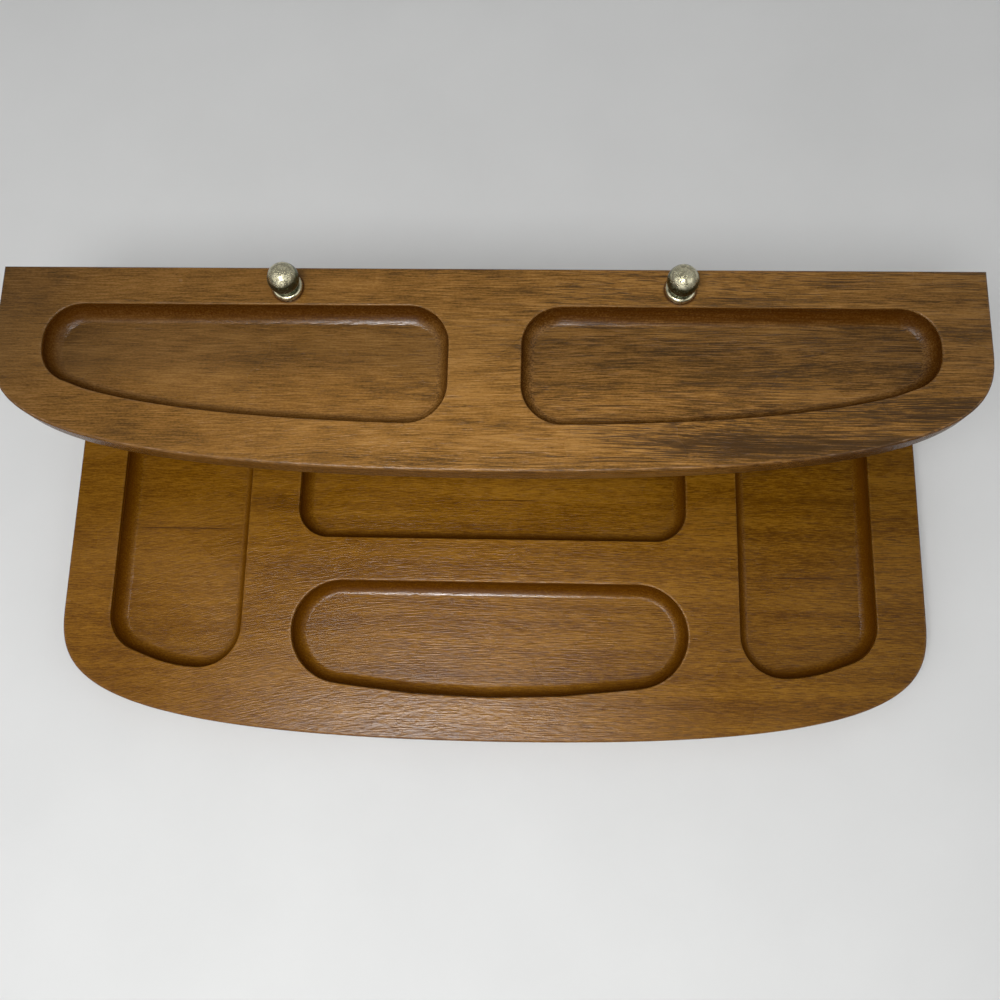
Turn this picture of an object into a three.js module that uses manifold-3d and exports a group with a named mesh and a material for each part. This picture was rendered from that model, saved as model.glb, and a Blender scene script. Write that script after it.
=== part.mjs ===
// Two-tier valet tray: a bow-fronted base board and a shallower shelf board, both with routed
// compartments, held apart by two brass posts that are clamped by tie rods and ball finials.
// Millimetres, +Z up, front towards -Y. The origin is on the table under the middle of the base.

import * as THREE from "three";
import { mergeVertices } from "three/addons/utils/BufferGeometryUtils.js";
import Module from "manifold-3d";

// Both boards
const BOARD_WIDTH = 330;
const TOP_EASE = 0.9;
const BOTTOM_ROUND = 2.2;
const COVE_RADIUS = 4.3;

// Base board
const BASE_DEPTH = 154.5;
const BASE_THICKNESS = 12;
const BASE_BOW = 49.6;
const BASE_SHOULDER = 24.4;

// Compartments of the base board
const BASE_WELL_DEPTH = 7;
const BASE_BACK_BORDER = 16;
const BASE_FRONT_BORDER = 12;
const BASE_END_BORDER = 18.4;
const SIDE_WELL_WIDTH = 51.3;
const SIDE_WELL_INNER_BORDER = 20.6;
const SIDE_WELL_OUTER_BORDER = 18.5;
const SIDE_WELL_BOW = 4.6;
const SIDE_WELL_BOW_RADIUS = 88;
const SIDE_WELL_INNER_RADIUS = 26;
const SIDE_WELL_OUTER_RADIUS = 15.3;
const SIDE_WELL_BACK_RADIUS = 12;
const SIDE_BRIDGE = 19.5;
const FRONT_WELL_LENGTH = 47.85;
const FRONT_WELL_BOW = 11;
const FRONT_WELL_BOW_RADIUS = 380;
const FRONT_WELL_FRONT_RADIUS = 23.5;
const FRONT_WELL_BACK_RADIUS = 21.8;
const MIDDLE_BRIDGE = 16.8;
const MIDDLE_WELL_RADIUS = 12;

// Shelf board
const SHELF_DEPTH = 70.6;
const SHELF_THICKNESS = 10.5;
const SHELF_BOW = 43.7;
const SHELF_SHOULDER = 18.2;

// Compartments of the shelf board
const SHELF_WELL_DEPTH = 6.5;
const SHELF_BACK_BORDER = 13.5;
const SHELF_FRONT_BORDER = 15.8;
const SHELF_END_BORDER = 16.5;
const SHELF_BRIDGE = 24;
const SHELF_WELL_INNER_RADIUS = 13.7;
const SHELF_WELL_OUTER_RADIUS = 13;

// Posts and tie rods; the pair of posts stands a little to the left of the boards' middle
const POST_SPACING = 131;
const POST_OFFSET = -1.2;
const POST_INSET = 7.5;
const POST_HEIGHT = 64;
const POST_DIAMETER = 8;
const ROD_DIAMETER = 4;
const ROD_PAST_BALL_CENTRE = 0.5;
const ROD_PAST_NUT = 0.6;
const ROD_END_COVER = 0.4;
const WASHER_DIAMETER = 9;
const WASHER_THICKNESS = 0.8;
const NUT_ACROSS_FLATS = 7;
const NUT_HEIGHT = 3.2;

// Ball finials with their collars
const BALL_DIAMETER = 10.5;
const NECK_STEP = 1.65;
const NECK_HEIGHT = 1.2;
const COLLAR_DIAMETER = 10.3;
const COLLAR_THICKNESS = 2.2;
const COLLAR_EDGE_RADIUS = 0.7;
const COLLAR_RECESS = 1.0;
const SPIGOT_WALL = 0.7;
const LIP_OVERHANG = 0.7;
const LIP_THICKNESS = 0.5;

// Felt feet
const FOOT_DIAMETER = 18;
const FOOT_THICKNESS = 2;
const FOOT_SIDE_INSET = 24;
const FOOT_BACK_INSET = 20;
const FOOT_FRONT_INSET = 38;

// Clearances
const ROD_CLEARANCE = 0.35;
const POST_BORE_CLEARANCE = 0.5;
const THREAD_CLEARANCE = 0.2;
const COUNTERBORE_CLEARANCE = 0.6;
const SPIGOT_CLEARANCE = 0.3;
const LIP_CLEARANCE = 0.25;
const BORE_END_CLEARANCE = 0.6;

// Facets: the largest turn between two points of an arc, and the sides of a small round piece
const ARC_STEP = Math.PI / 16;
const BOW_SEGMENTS = 14;
const COVE_STEPS = 4;
const EASE_STEPS = 2;
const ROUND_STEPS = 3;
const SMALL_ROUND_SIDES = 24;
const BALL_STEPS = 12;
const LEAST_ARC_STEPS = 3;
const SAME_POINT = 0.001;

// Bowed edge of a shelf compartment: its points, and how many corner radii in from the corners
// the first and the last of them lie
const WELL_FRONT_POINTS = 5;
const FIRST_POINT_RADII = 1.5;
const LAST_POINT_RADII = 1.2;

// Heights and places that follow from the sizes above
const halfWidth = BOARD_WIDTH / 2;
const backY = BASE_DEPTH / 2;
const leastEdge = SAME_POINT + 2 * COVE_RADIUS * Math.tan(ARC_STEP / 4);
const baseBottomZ = FOOT_THICKNESS;
const baseTopZ = baseBottomZ + BASE_THICKNESS;
const shelfBottomZ = baseTopZ + POST_HEIGHT;
const shelfTopZ = shelfBottomZ + SHELF_THICKNESS;
const postY = backY - POST_INSET;
const postX = (side) => POST_OFFSET + (side * POST_SPACING) / 2;
const rodRadius = ROD_DIAMETER / 2;
const rodHoleRadius = rodRadius + ROD_CLEARANCE;
const threadRadius = rodRadius + THREAD_CLEARANCE;
const nutCornerRadius = NUT_ACROSS_FLATS / 2 / Math.cos(Math.PI / 6);
const counterboreRadius = Math.max(WASHER_DIAMETER / 2, nutCornerRadius) + COUNTERBORE_CLEARANCE;
const counterboreDepth = WASHER_THICKNESS + NUT_HEIGHT + ROD_PAST_NUT + ROD_END_COVER;
const washerBottomZ = baseBottomZ + counterboreDepth - WASHER_THICKNESS;
const nutBottomZ = washerBottomZ - NUT_HEIGHT;
const ballRadius = BALL_DIAMETER / 2;
const neckRadius = ballRadius - NECK_STEP;
const neckTop = COLLAR_THICKNESS + NECK_HEIGHT;
const ballCentre = neckTop + Math.sqrt(ballRadius ** 2 - neckRadius ** 2);
const spigotRadius = threadRadius + SPIGOT_WALL;
const lipRadius = spigotRadius + LIP_OVERHANG;

const base = {
  bottomZ: baseBottomZ,
  topZ: baseTopZ,
  depth: BASE_DEPTH,
  bow: BASE_BOW,
  shoulder: BASE_SHOULDER,
  wellDepth: BASE_WELL_DEPTH,
};
const shelf = {
  bottomZ: shelfBottomZ,
  topZ: shelfTopZ,
  depth: SHELF_DEPTH,
  bow: SHELF_BOW,
  shoulder: SHELF_SHOULDER,
  wellDepth: SHELF_WELL_DEPTH,
};

const wood = new THREE.MeshStandardMaterial({ color: 0x8a5c35, roughness: 0.45, metalness: 0 });
const brass = new THREE.MeshStandardMaterial({ color: 0xa8966a, roughness: 0.4, metalness: 1 });
const steel = new THREE.MeshStandardMaterial({ color: 0x9c9c98, roughness: 0.35, metalness: 1 });
const felt = new THREE.MeshStandardMaterial({ color: 0x4a4038, roughness: 1, metalness: 0 });

const wasm = await Module();
wasm.setup();

// Right half of a board's bowed front, from its straight side to the middle
function frontCurve(board) {
  const frontY = backY - board.depth;
  const sideEndY = frontY + board.bow;
  return new THREE.CubicBezierCurve(
    new THREE.Vector2(halfWidth, sideEndY),
    new THREE.Vector2(halfWidth, sideEndY - board.shoulder),
    new THREE.Vector2(halfWidth, frontY),
    new THREE.Vector2(0, frontY),
  );
}

// Front edge of a board at a distance x from the middle; along the curve x falls as 1 - t cubed
function frontEdgeY(board, x) {
  return frontCurve(board).getPoint(Math.cbrt(1 - x / halfWidth)).y;
}

// Edges at a corner of an outline, how far the outline turns there, and the length that the
// corner's arc takes from each of the two edges
function cornerTurn(corners, i) {
  const corner = corners[i];
  const before = corners[(i + corners.length - 1) % corners.length];
  const after = corners[(i + 1) % corners.length];
  const arriving = new THREE.Vector2(corner.x - before.x, corner.y - before.y);
  const leaving = new THREE.Vector2(after.x - corner.x, after.y - corner.y);
  const turn = Math.atan2(arriving.cross(leaving), arriving.dot(leaving));
  return { arriving, leaving, turn, tangent: corner.r * Math.tan(turn / 2) };
}

// Closed outline through corners {x, y, r}, anticlockwise, each rounded by an arc of radius r.
// Where two arcs need more than the edge between them, both shrink to fit it.
function roundedOutline(corners) {
  const turns = corners.map((corner, i) => cornerTurn(corners, i));
  const points = [];
  corners.forEach((corner, i) => {
    const { arriving, leaving, turn, tangent } = turns[i];
    if (corner.r === 0) {
      points.push(new THREE.Vector2(corner.x, corner.y));
      return;
    }
    const before = turns[(i + corners.length - 1) % corners.length];
    const after = turns[(i + 1) % corners.length];
    const shrink = Math.min(
      1,
      arriving.length() / (before.tangent + tangent),
      leaving.length() / (tangent + after.tangent),
    );
    const radius = corner.r * shrink;
    const heading = arriving.angle();
    const firstAngle = heading - Math.PI / 2;
    const startX = corner.x - tangent * shrink * Math.cos(heading);
    const startY = corner.y - tangent * shrink * Math.sin(heading);
    const arc = new THREE.EllipseCurve(
      startX - radius * Math.cos(firstAngle),
      startY - radius * Math.sin(firstAngle),
      radius,
      radius,
      firstAngle,
      firstAngle + turn,
    );
    points.push(...arc.getPoints(Math.max(LEAST_ARC_STEPS, Math.ceil(turn / ARC_STEP))));
  });
  return withoutRepeats(points);
}

// The same outline without points so near the one before that the cove's inset would cross them
function withoutRepeats(points) {
  return points.filter((point, i) => {
    const before = points[(i + points.length - 1) % points.length];
    return point.distanceTo(before) > leastEdge;
  });
}

// The outline moved inwards by a distance, each point along the bisector of its two edges
function insetOutline(points, distance) {
  return points.map((point, i) => {
    const before = points[(i + points.length - 1) % points.length];
    const after = points[(i + 1) % points.length];
    const arriving = point.clone().sub(before).normalize();
    const leaving = after.clone().sub(point).normalize();
    const inward = new THREE.Vector2(-arriving.y - leaving.y, arriving.x + leaving.x).normalize();
    const miter = inward.x * -leaving.y + inward.y * leaving.x;
    return point.clone().addScaledVector(inward, distance / miter);
  });
}

// Closed solid between rings of the outline, given from bottom to top as {z, inset}
function ringSolid(outline, rings) {
  const count = outline.length;
  const positions = [];
  const index = [];
  rings.forEach((ring) => {
    insetOutline(outline, ring.inset).forEach((p) => positions.push(p.x, p.y, ring.z));
  });
  for (let level = 0; level + 1 < rings.length; level += 1) {
    for (let i = 0; i < count; i += 1) {
      const next = (i + 1) % count;
      const low = level * count;
      const high = low + count;
      index.push(low + i, low + next, high + next);
      index.push(low + i, high + next, high + i);
    }
  }
  const topStart = (rings.length - 1) * count;
  const bottomCap = insetOutline(outline, rings[0].inset);
  const topCap = insetOutline(outline, rings[rings.length - 1].inset);
  THREE.ShapeUtils.triangulateShape(bottomCap, []).forEach(([a, b, c]) => index.push(c, b, a));
  THREE.ShapeUtils.triangulateShape(topCap, []).forEach(([a, b, c]) => {
    index.push(topStart + a, topStart + b, topStart + c);
  });
  const geometry = new THREE.BufferGeometry();
  geometry.setAttribute("position", new THREE.Float32BufferAttribute(positions, 3));
  geometry.setIndex(index);
  return geometry;
}

// Quarter round of rings that starts flat at z, inset by the radius, and ends upright
function quarterRound(z, radius, steps, rise) {
  const rings = [];
  for (let i = 0; i <= steps; i += 1) {
    const angle = (i / steps) * (Math.PI / 2);
    rings.push({
      z: z + rise * radius * (1 - Math.cos(angle)),
      inset: radius * (1 - Math.sin(angle)),
    });
  }
  return rings;
}

function toSolid(geometry) {
  const bare = geometry.clone();
  bare.deleteAttribute("normal");
  bare.deleteAttribute("uv");
  const merged = mergeVertices(bare);
  return new wasm.Manifold(new wasm.Mesh({
    numProp: 3,
    vertProperties: new Float32Array(merged.attributes.position.array),
    triVerts: new Uint32Array(merged.index.array),
  }));
}

function toGeometry(solid) {
  const mesh = solid.getMesh();
  const geometry = new THREE.BufferGeometry();
  geometry.setAttribute("position", new THREE.BufferAttribute(mesh.vertProperties, 3));
  geometry.setIndex(new THREE.BufferAttribute(mesh.triVerts, 1));
  geometry.computeVertexNormals();
  return geometry;
}

// Whole outline of a board, anticlockwise from its back left corner's side
function boardOutline(board) {
  const right = frontCurve(board).getPoints(BOW_SEGMENTS).reverse();
  const left = right.map((p) => new THREE.Vector2(-p.x, p.y)).reverse();
  const corners = [
    ...left.slice(0, -1).map((p) => ({ x: p.x, y: p.y, r: 0 })),
    ...right.map((p) => ({ x: p.x, y: p.y, r: 0 })),
    { x: halfWidth, y: backY, r: 0 },
    { x: -halfWidth, y: backY, r: 0 },
  ];
  return roundedOutline(corners);
}

// Compartment on the right half of the shelf; its front edge follows the bow
function shelfWellCorners() {
  const inner = SHELF_BRIDGE / 2;
  const outer = halfWidth - SHELF_END_BORDER;
  const back = backY - SHELF_BACK_BORDER;
  const front = (x) => frontEdgeY(shelf, x) + SHELF_FRONT_BORDER;
  const first = inner + SHELF_WELL_INNER_RADIUS * FIRST_POINT_RADII;
  const last = outer - SHELF_WELL_OUTER_RADIUS * LAST_POINT_RADII;
  const bowed = [];
  for (let i = 0; i < WELL_FRONT_POINTS; i += 1) {
    const x = first + ((last - first) * i) / (WELL_FRONT_POINTS - 1);
    bowed.push({ x, y: front(x), r: 0 });
  }
  return [
    { x: inner, y: front(inner), r: SHELF_WELL_INNER_RADIUS },
    ...bowed,
    { x: outer, y: front(outer), r: SHELF_WELL_OUTER_RADIUS },
    { x: outer, y: back, r: SHELF_WELL_OUTER_RADIUS },
    { x: inner, y: back, r: SHELF_WELL_INNER_RADIUS },
  ];
}

// Compartment at the right end of the base; its front edge slants and swells with the bow
function sideWellCorners() {
  const outer = halfWidth - BASE_END_BORDER;
  const inner = outer - SIDE_WELL_WIDTH;
  const innerY = frontEdgeY(base, inner) + SIDE_WELL_INNER_BORDER;
  const outerY = frontEdgeY(base, outer) + SIDE_WELL_OUTER_BORDER;
  const swellY = (innerY + outerY) / 2 - SIDE_WELL_BOW;
  const back = backY - BASE_BACK_BORDER;
  return [
    { x: inner, y: innerY, r: SIDE_WELL_INNER_RADIUS },
    { x: (inner + outer) / 2, y: swellY, r: SIDE_WELL_BOW_RADIUS },
    { x: outer, y: outerY, r: SIDE_WELL_OUTER_RADIUS },
    { x: outer, y: back, r: SIDE_WELL_BACK_RADIUS },
    { x: inner, y: back, r: SIDE_WELL_BACK_RADIUS },
  ];
}

// Half width shared by the two compartments in the middle of the base
function middleHalfWidth() {
  return halfWidth - BASE_END_BORDER - SIDE_WELL_WIDTH - SIDE_BRIDGE;
}

// Compartment at the front of the base, with round ends and a bowed front edge
function frontWellCorners() {
  const half = middleHalfWidth();
  const frontY = backY - BASE_DEPTH + BASE_FRONT_BORDER;
  const rearY = frontY + FRONT_WELL_LENGTH;
  const cornerY = frontY + FRONT_WELL_BOW;
  return [
    { x: -half, y: cornerY, r: FRONT_WELL_FRONT_RADIUS },
    { x: 0, y: frontY, r: FRONT_WELL_BOW_RADIUS },
    { x: half, y: cornerY, r: FRONT_WELL_FRONT_RADIUS },
    { x: half, y: rearY, r: FRONT_WELL_BACK_RADIUS },
    { x: -half, y: rearY, r: FRONT_WELL_BACK_RADIUS },
  ];
}

// Compartment of the base that lies mostly under the shelf
function middleWellCorners() {
  const half = middleHalfWidth();
  const frontWellRearY = backY - BASE_DEPTH + BASE_FRONT_BORDER + FRONT_WELL_LENGTH;
  const frontY = frontWellRearY + MIDDLE_BRIDGE;
  const back = backY - BASE_BACK_BORDER;
  return [
    { x: -half, y: frontY, r: MIDDLE_WELL_RADIUS },
    { x: half, y: frontY, r: MIDDLE_WELL_RADIUS },
    { x: half, y: back, r: MIDDLE_WELL_RADIUS },
    { x: -half, y: back, r: MIDDLE_WELL_RADIUS },
  ];
}

// The same corners on the left half, still anticlockwise
function mirrored(corners) {
  return corners.map((corner) => ({ ...corner, x: -corner.x })).reverse();
}

// What the router takes out of a board: upright walls that turn into a flat floor by a cove
function wellSolid(board, corners) {
  const floorZ = board.topZ - board.wellDepth;
  const rings = quarterRound(floorZ, COVE_RADIUS, COVE_STEPS, 1);
  const aboveBoardZ = Math.max(board.topZ, floorZ + COVE_RADIUS) + TOP_EASE;
  rings.push({ z: aboveBoardZ, inset: 0 });
  return toSolid(ringSolid(roundedOutline(corners), rings));
}

function roundBar(radius, length) {
  const shape = new THREE.Shape();
  shape.absarc(0, 0, radius, 0, 2 * Math.PI, false);
  return new THREE.ExtrudeGeometry(shape, {
    depth: length,
    bevelEnabled: false,
    curveSegments: SMALL_ROUND_SIDES / 2,
  });
}

// Flat ring or tube: an outer shape with a round hole along Z
function boredPlate(shape, holeRadius, height) {
  const hole = new THREE.Path();
  hole.absarc(0, 0, holeRadius, 0, 2 * Math.PI, true);
  shape.holes.push(hole);
  return new THREE.ExtrudeGeometry(shape, {
    depth: height,
    bevelEnabled: false,
    curveSegments: SMALL_ROUND_SIDES / 2,
  });
}

function discShape(radius) {
  const shape = new THREE.Shape();
  shape.absarc(0, 0, radius, 0, 2 * Math.PI, false);
  return shape;
}

function hexagonShape(acrossFlats) {
  const corners = [];
  for (let i = 0; i < 6; i += 1) {
    const angle = (i * Math.PI) / 3;
    const radius = acrossFlats / 2 / Math.cos(Math.PI / 6);
    corners.push(new THREE.Vector2(radius * Math.cos(angle), radius * Math.sin(angle)));
  }
  return new THREE.Shape(corners);
}

// Turned piece about Z from a profile of [radius, height] pairs
function turned(profile) {
  const points = profile.map(([radius, height]) => new THREE.Vector2(radius, height));
  return new THREE.LatheGeometry(points, SMALL_ROUND_SIDES).rotateX(Math.PI / 2);
}

// Cutter for a hole through a board, wider by a counterbore from below where a depth is given
function boltHole(board, boreDepth) {
  const overshoot = TOP_EASE;
  const length = board.topZ - board.bottomZ + 2 * overshoot;
  const through = roundBar(rodHoleRadius, length).translate(0, 0, board.bottomZ - overshoot);
  if (boreDepth === 0) {
    return toSolid(through);
  }
  const wide = roundBar(counterboreRadius, boreDepth + overshoot);
  return toSolid(through).add(toSolid(wide.translate(0, 0, board.bottomZ - overshoot)));
}

function boardGeometry(board, wells, boreDepth) {
  const rings = [
    ...quarterRound(board.bottomZ, BOTTOM_ROUND, ROUND_STEPS, 1),
    ...quarterRound(board.topZ, TOP_EASE, EASE_STEPS, -1).reverse(),
  ];
  let solid = toSolid(ringSolid(boardOutline(board), rings));
  wells.forEach((corners) => {
    solid = solid.subtract(wellSolid(board, corners));
  });
  [-1, 1].forEach((side) => {
    const hole = boltHole(board, boreDepth);
    solid = solid.subtract(hole.translate([postX(side), postY, 0]));
  });
  return toGeometry(solid);
}

// Ball of a finial: blind threaded bore, spigot with a lip, neck and ball, from the shelf up
function finialBallGeometry() {
  const boreTop = ballCentre + ROD_PAST_BALL_CENTRE + BORE_END_CLEARANCE;
  const lipTop = LIP_CLEARANCE + LIP_THICKNESS;
  const profile = [
    [0, boreTop],
    [threadRadius, boreTop],
    [threadRadius, LIP_CLEARANCE],
    [lipRadius, LIP_CLEARANCE],
    [lipRadius, lipTop],
    [spigotRadius, lipTop],
    [spigotRadius, COLLAR_THICKNESS],
    [neckRadius, COLLAR_THICKNESS],
  ];
  const firstAngle = -Math.acos(neckRadius / ballRadius);
  for (let i = 0; i < BALL_STEPS; i += 1) {
    const angle = firstAngle + ((Math.PI / 2 - firstAngle) * i) / BALL_STEPS;
    profile.push([ballRadius * Math.cos(angle), ballCentre + ballRadius * Math.sin(angle)]);
  }
  profile.push([0, ballCentre + ballRadius]);
  return turned(profile);
}

// Collar under the ball: a ring that the spigot passes through, recessed below for the lip
function finialCollarGeometry() {
  const boreRadius = spigotRadius + SPIGOT_CLEARANCE;
  const recessRadius = lipRadius + SPIGOT_CLEARANCE;
  const radius = COLLAR_DIAMETER / 2;
  const profile = [
    [recessRadius, 0],
    [radius, 0],
    [radius, COLLAR_THICKNESS - COLLAR_EDGE_RADIUS],
    [radius - COLLAR_EDGE_RADIUS, COLLAR_THICKNESS],
    [boreRadius, COLLAR_THICKNESS],
    [boreRadius, COLLAR_RECESS],
    [recessRadius, COLLAR_RECESS],
    [recessRadius, 0],
  ];
  return turned(profile);
}

const tray = new THREE.Group();

function addPiece(parent, name, geometry, material, x, y, z) {
  const mesh = new THREE.Mesh(geometry, material.clone());
  mesh.name = name;
  mesh.position.set(x, y, z);
  parent.add(mesh);
}

function addBoards() {
  const baseWells = [
    sideWellCorners(),
    mirrored(sideWellCorners()),
    frontWellCorners(),
    middleWellCorners(),
  ];
  const shelfWells = [shelfWellCorners(), mirrored(shelfWellCorners())];
  addPiece(tray, "base_board", boardGeometry(base, baseWells, counterboreDepth), wood, 0, 0, 0);
  addPiece(tray, "shelf_board", boardGeometry(shelf, shelfWells, 0), wood, 0, 0, 0);
}

// Everything on one post's axis, from the nut under the base to the finial on the shelf
function addColumn(sideName, side) {
  const column = new THREE.Group();
  column.position.set(postX(side), postY, 0);
  tray.add(column);
  const rodBottomZ = nutBottomZ - ROD_PAST_NUT;
  const rodTopZ = shelfTopZ + ballCentre + ROD_PAST_BALL_CENTRE;
  const post = boredPlate(discShape(POST_DIAMETER / 2), rodRadius + POST_BORE_CLEARANCE, POST_HEIGHT);
  const washer = boredPlate(discShape(WASHER_DIAMETER / 2), rodHoleRadius, WASHER_THICKNESS);
  const nut = boredPlate(hexagonShape(NUT_ACROSS_FLATS), threadRadius, NUT_HEIGHT);
  const rod = roundBar(rodRadius, rodTopZ - rodBottomZ);
  addPiece(column, `${sideName}_post`, post, brass, 0, 0, baseTopZ);
  addPiece(column, `${sideName}_tie_rod`, rod, steel, 0, 0, rodBottomZ);
  addPiece(column, `${sideName}_rod_washer`, washer, steel, 0, 0, washerBottomZ);
  addPiece(column, `${sideName}_rod_nut`, nut, steel, 0, 0, nutBottomZ);
  addPiece(column, `${sideName}_finial_collar`, finialCollarGeometry(), brass, 0, 0, shelfTopZ);
  addPiece(column, `${sideName}_finial_ball`, finialBallGeometry(), brass, 0, 0, shelfTopZ);
}

function addFeet(sideName, side) {
  const x = side * (halfWidth - FOOT_SIDE_INSET);
  const rearY = backY - FOOT_BACK_INSET;
  const frontY = backY - BASE_DEPTH + FOOT_FRONT_INSET;
  const foot = () => roundBar(FOOT_DIAMETER / 2, FOOT_THICKNESS);
  addPiece(tray, `front_${sideName}_foot`, foot(), felt, x, frontY, 0);
  addPiece(tray, `back_${sideName}_foot`, foot(), felt, x, rearY, 0);
}

addBoards();
[["left", -1], ["right", 1]].forEach(([sideName, side]) => {
  addColumn(sideName, side);
  addFeet(sideName, side);
});

export default tray;
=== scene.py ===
"""Looks of a two-tier wooden valet tray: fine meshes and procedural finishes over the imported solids.

Metres, +Z up, front towards -Y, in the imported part's own frame.
"""

import math

import bpy
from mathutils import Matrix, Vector
from mathutils.geometry import tessellate_polygon


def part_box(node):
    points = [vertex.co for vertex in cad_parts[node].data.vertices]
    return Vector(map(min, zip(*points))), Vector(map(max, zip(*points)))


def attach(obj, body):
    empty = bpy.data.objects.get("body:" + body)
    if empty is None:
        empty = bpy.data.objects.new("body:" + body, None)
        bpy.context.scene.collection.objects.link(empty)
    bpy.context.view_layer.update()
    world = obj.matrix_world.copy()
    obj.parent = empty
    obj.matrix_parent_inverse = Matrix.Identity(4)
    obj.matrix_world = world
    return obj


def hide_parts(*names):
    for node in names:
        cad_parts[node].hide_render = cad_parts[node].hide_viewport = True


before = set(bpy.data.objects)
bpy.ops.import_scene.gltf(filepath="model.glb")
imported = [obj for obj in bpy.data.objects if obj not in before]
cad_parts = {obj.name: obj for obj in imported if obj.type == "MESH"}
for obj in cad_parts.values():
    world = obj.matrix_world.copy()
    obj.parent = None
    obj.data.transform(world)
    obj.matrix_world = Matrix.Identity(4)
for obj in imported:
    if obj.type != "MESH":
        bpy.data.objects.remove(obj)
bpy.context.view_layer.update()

MM = 0.001

# Both boards
TOP_EASE = 0.9 * MM
BOTTOM_ROUND = 2.2 * MM
COVE_RADIUS = 4.3 * MM
COVE_SWEEP = math.radians(72)
RIM_EASE = 0.35 * MM
TOOL_STEP = 0.22 * MM
FLAT_MARGIN = 0.5 * MM

# Marks on the boards, as levels from 0 to 1: stain, grit and wear. Finish pools along the foot of a
# back wall, closer to it with a higher hold, and a painted contact shadow rings the foot of a post or
# collar.
SIDE_STAIN = 0.6
BORE_STAIN = 0.6
WALL_GRIT = 0.5
BACK_WEAR = 0.1
SIDE_RIM_WEAR = 0.1
FRONT_RIM_WEAR = 0.8
MIDDLE_RIM_WEAR = 0.2
SHELF_RIM_WEAR = 0.15
POOL_REACH = 4 * MM
POOL_HOLD = 3
CONTACT_SHADOW_REACH = 0.8 * MM

# Bowed fronts: how far the middle stands out, and the length of the shoulder's pull on the curve
BASE_BOW = 49.6 * MM
BASE_SHOULDER = 24.4 * MM
SHELF_BOW = 43.7 * MM
SHELF_SHOULDER = 18.2 * MM

# Compartments of the base board
BASE_WELL_DEPTH = 7 * MM
BASE_BACK_BORDER = 16 * MM
BASE_FRONT_BORDER = 12 * MM
BASE_END_BORDER = 18.4 * MM
SIDE_WELL_WIDTH = 51.3 * MM
SIDE_WELL_INNER_BORDER = 20.6 * MM
SIDE_WELL_OUTER_BORDER = 18.5 * MM
SIDE_WELL_BOW = 4.6 * MM
SIDE_WELL_BOW_RADIUS = 88 * MM
SIDE_WELL_INNER_RADIUS = 26 * MM
SIDE_WELL_OUTER_RADIUS = 15.3 * MM
SIDE_WELL_BACK_RADIUS = 12 * MM
SIDE_BRIDGE = 19.5 * MM
FRONT_WELL_LENGTH = 47.85 * MM
FRONT_WELL_BOW = 11 * MM
FRONT_WELL_BOW_RADIUS = 380 * MM
FRONT_WELL_FRONT_RADIUS = 23.5 * MM
FRONT_WELL_BACK_RADIUS = 21.8 * MM
MIDDLE_BRIDGE = 16.8 * MM
MIDDLE_WELL_RADIUS = 12 * MM

# Compartments of the shelf board
SHELF_WELL_DEPTH = 6.5 * MM
SHELF_BACK_BORDER = 13.5 * MM
SHELF_FRONT_BORDER = 15.8 * MM
SHELF_END_BORDER = 16.5 * MM
SHELF_BRIDGE = 24 * MM
SHELF_WELL_INNER_RADIUS = 13.7 * MM
SHELF_WELL_OUTER_RADIUS = 13 * MM
FIRST_POINT_RADII = 1.5
LAST_POINT_RADII = 1.2

# Holes for the tie rods, and the counterbores for their nuts
ROD_HOLE_RADIUS = 2.35 * MM
COUNTERBORE_RADIUS = 5.1 * MM
COUNTERBORE_DEPTH = 5 * MM

# Hardware
SIDES = ("left", "right")
NECK_STEP = 1.65 * MM
NECK_FILLET = 0.35 * MM
SPIGOT_WALL = 0.7 * MM
SPIGOT_CLEARANCE = 0.3 * MM
LIP_OVERHANG = 0.7 * MM
LIP_THICKNESS = 0.5 * MM
BORE_PAST_CENTRE = 1.1 * MM
# The ball darkens with tarnish and painted shade below a height given in radii above its centre, reaching
# full over the span beneath it
TARNISH_AND_SHADE_START = 0.58
TARNISH_AND_SHADE_SPAN = 0.14
COLLAR_EDGE_RADIUS = 1.0 * MM
COLLAR_FOOT_EASE = 0.2 * MM
COLLAR_RECESS = 1.0 * MM
# Height up the collar's foot over which its painted contact shadow fades
COLLAR_FOOT_SHADOW = 0.8 * MM
POST_BORE_RADIUS = 2.5 * MM
POST_CHAMFER = 0.35 * MM
THREAD_RADIUS = 2.2 * MM
THREAD_PITCH = 0.7 * MM
THREAD_DEPTH = 0.35 * MM
THREADED_LENGTH = 9 * MM
WASHER_EASE = 0.15 * MM
NUT_CHAMFER_SLOPE = 0.577
FELT_EDGE_RADIUS = 0.7 * MM
FELT_RAGGEDNESS = 0.12 * MM
FELT_FINE_WAVES = 23
FELT_COARSE_WAVES = 7
FELT_PHASE = 1.0

# Facets
ARC_STEP = math.pi / 40
LEAST_ARC_STEPS = 3
SAME_POINT = 0.01 * MM
BOW_SEGMENTS = 72
WELL_FRONT_POINTS = 28
COVE_STEPS = 10
EASE_STEPS = 4
ROUND_STEPS = 8
HOLE_SIDES = 48
TURNED_SIDES = 72
BALL_STEPS = 36
SHARP_ANGLE = math.radians(32)

# Levels between which a noise mostly lies
NOISE_RANGE = (0.3, 0.7)

# Wood of both boards: sizes of its marks along X, Y and Z
WANDER_SIZE = (0.14, 0.03, 0.03)
BAND_SIZE = (0.15, 0.006, 0.006)
CLOUD_SIZE = (0.05, 0.03, 0.03)
MOTTLE_SIZE = (0.012, 0.005, 0.005)
SPECKLE_SIZE = (0.0011, 0.0005, 0.0005)
GRIT_SIZE = (0.0007, 0.0006, 0.0006)
CHIP_SIZE = (0.006, 0.001, 0.001)
STROKE_SIZE = (0.007, 0.0005, 0.0005)
RIPPLE_SIZE = (0.004, 0.0013, 0.0013)
VEIN_HALF = 0.4 * MM
VEIN_TAPER = 6 * MM

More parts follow.
